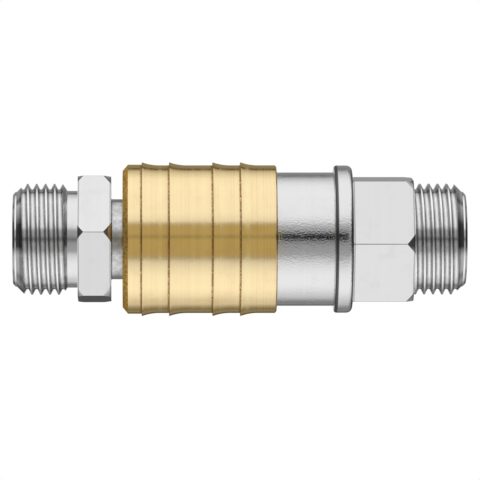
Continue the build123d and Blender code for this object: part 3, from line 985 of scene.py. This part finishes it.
def plug_bore_outline():
    """The tool that cuts the plug's bore, past both ends."""
    wide_end_x = PLUG_HEX_X - PLUG_HEX_LENGTH / 2
    drill_point = (PIPE_BORE_RADIUS - PLUG_BORE_RADIUS) / DRILL_POINT_SLOPE
    return [
        (plug_end_x - CUT_MARGIN, 0),
        (plug_end_x - CUT_MARGIN, PIPE_BORE_RADIUS + BORE_CHAMFER + CUT_MARGIN),
        (plug_end_x + BORE_CHAMFER, PIPE_BORE_RADIUS),
        (wide_end_x - drill_point, PIPE_BORE_RADIUS),
        (wide_end_x, PLUG_BORE_RADIUS),
        (nose_end_x - PLUG_EDGE, PLUG_BORE_RADIUS),
        (nose_end_x + CUT_MARGIN, PLUG_BORE_RADIUS + PLUG_EDGE + CUT_MARGIN),
        (nose_end_x + CUT_MARGIN, 0),
    ]


def body_outline():
    """The socket body's section, outside and inside."""
    edge = edge_rounding()
    flange_x = body_end_x - FLANGE_LENGTH
    chamber_x = VALVE_SEAT_X + CHAMBER_RADIUS - NOSE_BORE_RADIUS
    gasket_x = body_end_x - GASKET_GROOVE_DEPTH
    seal_start_x = nose_seal_x - NOSE_SEAL_WIDTH / 2
    seal_end_x = nose_seal_x + NOSE_SEAL_WIDTH / 2
    corners = [
        (tube_front_x, SOCKET_BORE_RADIUS + MOUTH_CHAMFER, 0),
        (tube_front_x, TUBE_RADIUS - BARREL_EDGE, edge),
        (tube_front_x + BARREL_EDGE, TUBE_RADIUS, edge),
        (ring_x - RING_GROOVE_HALF_WIDTH, TUBE_RADIUS, 0),
        (ring_x - RING_GROOVE_HALF_WIDTH, RING_GROOVE_RADIUS, RING_GROOVE_ROUND),
        (ring_x + RING_GROOVE_HALF_WIDTH, RING_GROOVE_RADIUS, RING_GROOVE_ROUND),
        (ring_x + RING_GROOVE_HALF_WIDTH, TUBE_RADIUS, 0),
        (spring_seat_x, TUBE_RADIUS, 0),
        (spring_seat_x, BARREL_RADIUS - BARREL_EDGE, edge),
        (spring_seat_x + BARREL_EDGE, BARREL_RADIUS, edge),
        (flange_x, BARREL_RADIUS, FLANGE_ROOT_ROUND),
        (flange_x, FLANGE_RADIUS, FLANGE_FRONT_ROUND),
        (body_end_x, FLANGE_RADIUS, FLANGE_REAR_ROUND),
        (body_end_x, GASKET_GROOVE_RADIUS, 0),
        (gasket_x, GASKET_GROOVE_RADIUS, 0),
        (gasket_x, SPIGOT_BORE_RADIUS, 0),
        (GUIDE_X, SPIGOT_BORE_RADIUS, 0),
        (GUIDE_X, CHAMBER_RADIUS, 0),
        (chamber_x, CHAMBER_RADIUS, 0),
        (VALVE_SEAT_X, NOSE_BORE_RADIUS, 0),
        (seal_end_x, NOSE_BORE_RADIUS, 0),
        (seal_end_x, NOSE_SEAL_GROOVE_RADIUS, 0),
        (seal_start_x, NOSE_SEAL_GROOVE_RADIUS, 0),
        (seal_start_x, NOSE_BORE_RADIUS, 0),
        (BORE_STEP_X, NOSE_BORE_RADIUS, 0),
        (BORE_STEP_X, SOCKET_BORE_RADIUS, 0),
        (tube_front_x + MOUTH_CHAMFER, SOCKET_BORE_RADIUS, 0),
    ]
    return rounded(corners)


def sleeve_outline():
    """The sleeve's section: saw-tooth ridges outside, ramp and spring room inside."""
    edge = edge_rounding()
    crest_radius = SLEEVE_VALLEY_RADIUS + sizes().ridge_height / MM
    fall = sizes().ridge_fall / MM
    height = crest_radius - SLEEVE_VALLEY_RADIUS
    slope_radius = (fall**2 + height**2) / (2 * height)
    slope_angle = math.asin(fall / slope_radius)
    seat_x = SLEEVE_RAMP_X - SLEEVE_SEAT_HEIGHT / SLEEVE_RAMP_SLOPE
    seat_radius = SLEEVE_LAND_RADIUS + SLEEVE_SEAT_HEIGHT
    relief_x = seat_x - (SLEEVE_RELIEF_RADIUS - seat_radius) / SLEEVE_SEAT_SLOPE
    corners = [
        (sleeve_rear_x, SLEEVE_VALLEY_RADIUS - SLEEVE_EDGE, edge),
        (sleeve_rear_x, SLEEVE_BORE_RADIUS, edge),
        (spring_front_x, SLEEVE_BORE_RADIUS, 0),
        (spring_front_x, SLEEVE_LAND_RADIUS, 0),
        (SLEEVE_RAMP_X, SLEEVE_LAND_RADIUS, 0),
        (seat_x, seat_radius, 0),
        (relief_x, SLEEVE_RELIEF_RADIUS, 0),
        (sleeve_front_x, SLEEVE_RELIEF_RADIUS, edge),
        (sleeve_front_x, SLEEVE_FRONT_RADIUS - SLEEVE_FRONT_CHAMFER_DEPTH, edge),
        (sleeve_front_x + SLEEVE_FRONT_CHAMFER, SLEEVE_FRONT_RADIUS, edge),
    ]
    ridge_x = sleeve_front_x
    foot_radius = SLEEVE_FRONT_RADIUS
    for gap in RIDGE_GAPS:
        ridge_x += gap
        corners.append((ridge_x, foot_radius, edge))
        corners.append((ridge_x, crest_radius, edge))
        for step in range(2, RIDGE_ARC_STEPS + 1):
            angle = slope_angle * (1 - step / RIDGE_ARC_STEPS)
            x = ridge_x + fall - slope_radius * math.sin(angle)
            radius = SLEEVE_VALLEY_RADIUS + slope_radius * (1 - math.cos(angle))
            corners.append((x, radius, 0))
        foot_radius = SLEEVE_VALLEY_RADIUS
    corners.append((sleeve_rear_x - SLEEVE_EDGE, SLEEVE_VALLEY_RADIUS, edge))
    return rounded(corners)


def adapter_outline():
    """The adapter's turned core, from its spigot to inside its thread, without its bore."""
    edge = edge_rounding()
    core_end_x = adapter_end_x - THREAD_CORE_INSET
    corners = [
        (spigot_x, 0, 0),
        (spigot_x, SPIGOT_RADIUS, edge),
        (body_end_x / 2, SPIGOT_RADIUS, 0),
        (body_end_x / 2, THREAD_CORE_RADIUS, 0),
        (core_end_x, THREAD_CORE_RADIUS, 0),
        (core_end_x, 0, 0),
    ]
    return rounded(corners)


def adapter_bore_outline():
    """The tool that cuts the adapter's bore, past both ends."""
    mouth_end_x = spigot_x + SPIGOT_MOUTH_DEPTH
    drill_point = (SPIGOT_MOUTH_RADIUS - PIPE_BORE_RADIUS) / DRILL_POINT_SLOPE
    return [
        (spigot_x - CUT_MARGIN, 0),
        (spigot_x - CUT_MARGIN, SPIGOT_MOUTH_RADIUS),
        (mouth_end_x, SPIGOT_MOUTH_RADIUS),
        (mouth_end_x + drill_point, PIPE_BORE_RADIUS),
        (adapter_end_x - BORE_CHAMFER, PIPE_BORE_RADIUS),
        (adapter_end_x + CUT_MARGIN, PIPE_BORE_RADIUS + BORE_CHAMFER + CUT_MARGIN),
        (adapter_end_x + CUT_MARGIN, 0),
    ]


# Operators


class COUPLING_OT_plug(bpy.types.Operator):
    """Model the threaded plug"""

    bl_idname = "coupling.plug"
    bl_label = "Threaded Plug"

    def execute(self, context):
        edge = edge_rounding()
        hex_start_x = PLUG_HEX_X - PLUG_HEX_LENGTH
        thread_end_x = hex_start_x - PLUG_RELIEF_LENGTH
        envelope = thread_end(plug_end_x, 1) + [
            (thread_end_x - PLUG_RUN_DOWN, THREAD_RADIUS + edge),
            (thread_end_x + edge, PLUG_RELIEF_RADIUS - edge),
            (thread_end_x + edge, 0),
        ]
        hexagon = (hex_start_x, PLUG_HEX_X, *PLUG_HEX_CHAMFERS, PLUG_HEX_TURN)
        plug = threaded_piece(
            "plug", envelope, PLUG_CREST_X, plug_outline(), hexagon, plug_bore_outline()
        )
        finish_piece(plug, plug_material(thread_end_x), "plug_steel", "plug", "plug_body")
        return {"FINISHED"}


class COUPLING_OT_socket_body(bpy.types.Operator):
    """Model the plated body with its flange, ball holes and seal grooves"""

    bl_idname = "coupling.socket_body"
    bl_label = "Socket Body"

    def execute(self, context):
        body = turned("coupling_body", body_outline())
        hole = [
            (0, 0),
            (0, BALL_LIP_RADIUS),
            (BALL_LIP_TOP, BALL_LIP_RADIUS),
            (BALL_LIP_TOP, BALL_HOLE_RADIUS),
            (TUBE_RADIUS + CUT_MARGIN, BALL_HOLE_RADIUS),
            (TUBE_RADIUS + CUT_MARGIN, 0),
        ]
        upright = Matrix.Rotation(-FULL_TURN / 4, 4, "Y")
        for number in range(BALL_COUNT):
            drill = turned("ball_drill", hole, closed=False, steps=BALL_HOLE_SIDES)
            around = Matrix.Rotation(FULL_TURN * (number + 1 / 2) / BALL_COUNT, 4, "X")
            drill.matrix_world = Matrix.Translation((ball_x, 0, 0)) @ around @ upright
            choose(drill)
            bpy.ops.object.transform_apply()
            combine(body, drill, "DIFFERENCE")
        finish_piece(body, body_material(), "body_chrome", "socket", "socket_body")
        return {"FINISHED"}


class COUPLING_OT_rear_adapter(bpy.types.Operator):
    """Model the adapter with its hexagon and pipe thread"""

    bl_idname = "coupling.rear_adapter"
    bl_label = "Rear Adapter"

    def execute(self, context):
        start_x = body_end_x / 4
        envelope = [
            (start_x, 0),
            (start_x, THREAD_RADIUS + edge_rounding()),
            *reversed(thread_end(adapter_end_x, -1)),
        ]
        hexagon = (body_end_x, 0, 0, ADAPTER_HEX_CHAMFER, ADAPTER_HEX_TURN)
        adapter = threaded_piece(
            "adapter", envelope, ADAPTER_CREST_X, adapter_outline(), hexagon, adapter_bore_outline()
        )
        finish_piece(adapter, adapter_material(), "adapter_steel", "socket", "rear_adapter")
        return {"FINISHED"}


class COUPLING_OT_locking_sleeve(bpy.types.Operator):
    """Model the brass locking sleeve with its saw-tooth grip ridges"""

    bl_idname = "coupling.locking_sleeve"
    bl_label = "Locking Sleeve"

    def execute(self, context):
        sleeve = turned("sleeve", sleeve_outline())
        finish_piece(sleeve, sleeve_material(), "sleeve_brass", "sleeve", "locking_sleeve")
        return {"FINISHED"}


class COUPLING_OT_lock_parts(bpy.types.Operator):
    """Finish the locking balls, the retaining ring and the seals"""

    bl_idname = "coupling.lock_parts"
    bl_label = "Balls, Ring and Seals"

    def execute(self, context):
        polished = plating_material("ball_steel", dimple_depth=0.0000005, smudge_amount=0.02)
        for number in range(1, BALL_COUNT + 1):
            node, name, body = f"locking_ball_{number}", f"lock_ball_{number}", f"ball_{number}"
            dress_node(node, name, polished, "ball_steel", body)
        dress_node("retaining_ring", "stop_ring", steel_material(), "spring_steel", "ring")
        rubber = rubber_material()
        for node, name, body in (
            ("nose_oring", "nose_seal", "socket"),
            ("adapter_oring", "adapter_seal", "socket"),
            ("poppet_oring", "valve_seal", "valve"),
        ):
            dress_node(node, name, rubber, "seal_rubber", body)
        return {"FINISHED"}


class COUPLING_OT_springs(bpy.types.Operator):
    """Finish the two springs"""

    bl_idname = "coupling.springs"
    bl_label = "Springs"

    def execute(self, context):
        steel = bpy.data.materials["spring_wire"]
        for node, name, joint, travel in (
            ("sleeve_spring", "sleeve_coil", "sleeve_slide", SLEEVE_TRAVEL),
            ("valve_spring", "valve_coil", "valve_overtravel", VALVE_TRAVEL),
        ):
            spring = dress_node(node, name, steel, "spring_steel", "socket")
            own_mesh(spring)
        return {"FINISHED"}


class COUPLING_OT_valve(bpy.types.Operator):
    """Finish the valve and its guide"""

    bl_idname = "coupling.valve"
    bl_label = "Valve and Guide"

    def execute(self, context):
        brass = brass_material("valve_brass")
        for node, name, body in (("valve_poppet", "valve", "valve"), ("valve_guide", "guide", "socket")):
            dress_node(node, name, brass, "valve_brass", body, smooth_angle=TURNED_SMOOTH_ANGLE)
        return {"FINISHED"}


# Stage, in metres

CAMERA_X = -40.1 * MM
VIEW_CENTRE_X = -25.87 * MM
VIEW_CENTRE_Z = -0.127 * MM
CAMERA_ROLL = math.radians(0.03)
CAMERA_CLIP_START = 0.05
FLOOR_RADIUS = 0.5
FLOOR_FADE = (0.055, 0.088)
FLOOR_SIDES = 128
FLOOR_LEVEL = 0.88
FLOOR_ROUGHNESS = 0.9
LAMP_SIZE = 0.4
LAMP_PLACE = (-0.08, -0.12, 0.5)
WORLD_LEVEL = 0.8

# What metal reflects from all round the axis: angles in degrees from the camera's side, upwards
# positive, with the level of the studio there.
STUDIO_RING = (
    (-180, 0.8), (-176, 0.7), (-171, 0.08), (-164, 0.08), (-152, 0.3), (-140, 0.2), (-131, 0.36),
    (-122, 0.66), (-111, 0.72), (-98, 0.92), (-84, 1.02), (-60, 0.98), (-47, 0.86), (-38, 0.74),
    (-28, 0.4), (-10, 0.35), (-4, 0.25), (0, 0.14), (4, 0.25), (10, 0.35), (20, 0.38), (30, 0.84),
    (42, 0.97), (90, 1.0), (108, 0.96), (126, 0.66), (133, 0.5), (140, 0.08), (148, 0.28),
    (172, 0.28), (176, 0.7), (180, 0.8),
)

# The studio darkens towards both ends of the axis: the sideways share of the direction where that
# starts, where it is full and at the very end, with the levels at the last two.
SIDE_START = 0.7
SIDE_FULL = 0.8
SIDE_EDGE = 0.98
SIDE_LEVEL = 0.12
SIDE_EDGE_LEVEL = 0.03

# How the sides brighten downwards and upwards: where it starts, where it is full, and its level.
SIDE_SLANTS = ((-0.13, -0.3, 0.42), (0.25, 0.5, 0.42))

# Cards that are seen only in reflections: a warm one in front of the sleeve and a narrow dark one in
# front of the barrel, which both reach a little past them, in millimetres. Tops and bottoms are the
# heights where a card ends and where it is full, in metres. Its glow is weaker in a line: at a height,
# with a half width, down to a share of the glow.
CARD_PLACE_Y = -0.018
CARD_OVERHANG = 0.15
CARD_SLANT_FADE = (0.48, 0.36)
CARD_LINE = (0.0008, 0.0011, 0.75)
WARM_CARD_TOP = (0.0064, 0.0043)
WARM_CARD_BOTTOM = (-0.0079, -0.0053)
WARM_CARD_COLOUR = (0.44, 0.363, 0.19)
DARK_CARD_TOP = (0.0028, 0.0016)
DARK_CARD_BOTTOM = (-0.0006, 0.0004)
DARK_CARD_COLOUR = (0.0, 0.0, 0.0)


def make_world():
    """White to the camera, plain light on matt surfaces, and a studio with dark bands in metal."""
    world = bpy.data.worlds.new("studio")
    bpy.context.scene.world = world
    world.use_nodes = True
    tree = world.node_tree
    tree.nodes.clear()
    parts = split(tree, coordinates(tree, "Generated"))
    towards_camera = calculate(tree, "MULTIPLY", parts["Y"], -1.0)
    angle = calculate(tree, "ARCTAN2", parts["Z"], towards_camera)
    ring = add_node(tree, "ValToRGB", {"Fac": ramp(tree, angle, -math.pi, math.pi)})
    stops = ring.color_ramp.elements
    while len(stops) < len(STUDIO_RING):
        stops.new(1.0)
    for stop, (degrees, level) in zip(stops, STUDIO_RING):
        stop.position = (degrees + 180) / 360
        stop.color = grey(level)
    sideways = calculate(tree, "ABSOLUTE", parts["X"])
    side = ramp(tree, sideways, SIDE_START, SIDE_FULL, smooth=True)
    side_level = ramp(tree, sideways, SIDE_FULL, SIDE_EDGE, SIDE_LEVEL, SIDE_EDGE_LEVEL)
    for start, full, level in SIDE_SLANTS:
        slant_level = ramp(tree, parts["Z"], start, full, 0.0, level)
        side_level = calculate(tree, "MAXIMUM", side_level, slant_level)
    studio = add_node(
        tree, "Mix", {0: side, 6: ring.outputs["Color"], 7: side_level}, data_type="RGBA"
    )
    plain, reflected, white = (
        add_node(tree, "Background", {"Color": colour}).outputs[0]
        for colour in (grey(WORLD_LEVEL), studio.outputs[2], grey(1.0))
    )
    rays = add_node(tree, "LightPath").outputs
    clear = calculate(tree, "MAXIMUM", rays["Is Camera Ray"], rays["Is Transmission Ray"])
    lit = mix_shaders(tree, rays["Is Glossy Ray"], plain, reflected)
    add_node(tree, "OutputWorld", {"Surface": mix_shaders(tree, clear, lit, white)})


def floor_material():
    """Pale and matt under the coupling, fading to white; clear from below and to reflections."""
    material, tree, shader = start_material("floor")
    shader.inputs["Base Color"].default_value = grey(FLOOR_LEVEL)
    shader.inputs["Roughness"].default_value = FLOOR_ROUGHNESS
    shader.inputs["Specular IOR Level"].default_value = 0.0
    centre = (VIEW_CENTRE_X, 0.0, -bpy.context.scene.coupling_stage.floor_drop)
    offset = add_node(tree, "VectorMath", {0: coordinates(tree), 1: centre}, operation="SUBTRACT")
    fade = ramp(tree, vector_length(tree, offset.outputs[0]), *FLOOR_FADE, smooth=True)
    white = add_node(tree, "Emission", {"Color": grey(1.0)}).outputs[0]
    rays = add_node(tree, "LightPath").outputs
    fade_seen = calculate(tree, "MULTIPLY", fade, rays["Is Camera Ray"])
    pale = mix_shaders(tree, fade_seen, shader.outputs[0], white)
    clear = add_node(tree, "BsdfTransparent").outputs[0]
    below = add_node(tree, "NewGeometry").outputs["Backfacing"]
    unseen = calculate(tree, "MAXIMUM", below, rays["Is Glossy Ray"])
    mixed = mix_shaders(tree, unseen, pale, clear)
    tree.links.new(mixed, tree.nodes["Material Output"].inputs["Surface"])
    return material


def card_material(name, top, bottom, colour):
    """A glow that fades at the card's top and bottom and where it is seen at a slant."""
    material, tree, shader = start_material(name)
    tree.nodes.remove(shader)
    height = split(tree, coordinates(tree))["Z"]
    line_height, line_width, line_level = CARD_LINE
    away = calculate(tree, "ABSOLUTE", calculate(tree, "SUBTRACT", height, line_height))
    level = ramp(tree, away, 0.0, line_width, line_level, 1.0)
    glow = add_node(tree, "Emission", {"Color": opaque(colour), "Strength": level}).outputs[0]
    fades = [ramp(tree, height, edge, full) for edge, full in (top, bottom)]
    facing = add_node(tree, "LayerWeight", {"Blend": 0.5}).outputs["Facing"]
    head_on = ramp(tree, facing, *CARD_SLANT_FADE)
    clear = add_node(tree, "BsdfTransparent").outputs[0]
    faded = mix_shaders(tree, product(tree, (head_on, *fades)), clear, glow)
    tree.links.new(faded, tree.nodes["Material Output"].inputs["Surface"])
    return material


def make_card(name, start_x, end_x, top, bottom, colour):
    """A card that only reflections see."""
    low_x = (start_x - CARD_OVERHANG) * MM
    high_x = (end_x + CARD_OVERHANG) * MM
    deselect_everything()
    bpy.ops.mesh.primitive_plane_add(
        size=1,
        location=((low_x + high_x) / 2, CARD_PLACE_Y, (top[0] + bottom[0]) / 2),
        rotation=(FULL_TURN / 4, 0, 0),
    )
    card = bpy.context.object
    card.name = name
    card.scale = (high_x - low_x, top[0] - bottom[0], 1)
    bpy.ops.object.transform_apply()
    card.data.materials.append(card_material(name, top, bottom, colour))
    for ray in ("camera", "diffuse", "transmission", "volume_scatter", "shadow"):
        setattr(card, f"visible_{ray}", False)


class COUPLING_OT_stage(bpy.types.Operator):
    """Set the floor, the light and the camera"""

    bl_idname = "coupling.stage"
    bl_label = "Stage"

    def execute(self, context):
        scene = context.scene
        stage = scene.coupling_stage
        scene.view_settings.view_transform = "Standard"
        make_world()
        deselect_everything()
        bpy.ops.mesh.primitive_circle_add(
            vertices=FLOOR_SIDES,
            radius=FLOOR_RADIUS,
            fill_type="NGON",
            location=(VIEW_CENTRE_X, 0, -stage.floor_drop),
        )
        floor = context.object
        floor.name = "floor"
        bpy.ops.object.transform_apply(location=True)
        floor.data.materials.append(floor_material())
        make_card(
            "warm_card",
            sleeve_front_x,
            sleeve_rear_x,
            WARM_CARD_TOP,
            WARM_CARD_BOTTOM,
            WARM_CARD_COLOUR,
        )
        make_card(
            "dark_card", sleeve_rear_x, body_end_x, DARK_CARD_TOP, DARK_CARD_BOTTOM, DARK_CARD_COLOUR
        )
        deselect_everything()
        bpy.ops.object.light_add(type="AREA", location=LAMP_PLACE)
        lamp = context.object
        lamp.name = "soft_lamp"
        lamp.data.shape = "SQUARE"
        lamp.data.size = LAMP_SIZE
        lamp.data.energy = stage.lamp_power
        aim = Vector((VIEW_CENTRE_X, 0, 0)) - Vector(LAMP_PLACE)
        lamp.rotation_euler = aim.to_track_quat("-Z", "Y").to_euler()
        lamp.visible_glossy = False
        lamp.visible_camera = False
        yaw = math.atan2(VIEW_CENTRE_X - CAMERA_X, stage.camera_distance)
        bpy.ops.object.camera_add(
            location=(CAMERA_X, -stage.camera_distance, VIEW_CENTRE_Z),
            rotation=(FULL_TURN / 4, CAMERA_ROLL, -yaw),
        )
        camera = context.object
        camera.name = "camera"
        camera.data.lens = stage.camera_lens
        camera.data.clip_start = CAMERA_CLIP_START
        scene.camera = camera
        return {"FINISHED"}


OPERATORS = (
    COUPLING_OT_plug,
    COUPLING_OT_socket_body,
    COUPLING_OT_rear_adapter,
    COUPLING_OT_locking_sleeve,
    COUPLING_OT_lock_parts,
    COUPLING_OT_springs,
    COUPLING_OT_valve,
    COUPLING_OT_stage,
)


class COUPLING_PT_panel(bpy.types.Panel):
    """Sidebar panel of the coupling's operators and settings"""

    bl_idname = "COUPLING_PT_panel"
    bl_label = "Quick Coupling"
    bl_space_type = "VIEW_3D"
    bl_region_type = "UI"
    bl_category = "Coupling"

    def draw(self, context):
        layout = self.layout
        for operator in OPERATORS:
            layout.operator(operator.bl_idname)
        for settings in GROUPS:
            box = layout.box()
            group = getattr(context.scene, settings)
            for name in group.bl_rna.properties.keys():
                if name not in ("rna_type", "name"):
                    box.prop(group, name)


GROUPS = {
    "coupling_sizes": CouplingSizes,
    "coupling_finish": CouplingFinish,
    "coupling_stage": CouplingStage,
}


def register():
    for name, group in GROUPS.items():
        bpy.utils.register_class(group)
        setattr(bpy.types.Scene, name, bpy.props.PointerProperty(type=group))
    for operator in OPERATORS:
        bpy.utils.register_class(operator)
    bpy.utils.register_class(COUPLING_PT_panel)


def unregister():
    bpy.utils.unregister_class(COUPLING_PT_panel)
    for operator in reversed(OPERATORS):
        bpy.utils.unregister_class(operator)
    for name, group in GROUPS.items():
        delattr(bpy.types.Scene, name)
        bpy.utils.unregister_class(group)


def main():
    register()
    for operator in OPERATORS:
        area, name = operator.bl_idname.split(".")
        getattr(getattr(bpy.ops, area), name)()


if __name__ == "__main__":
    main()
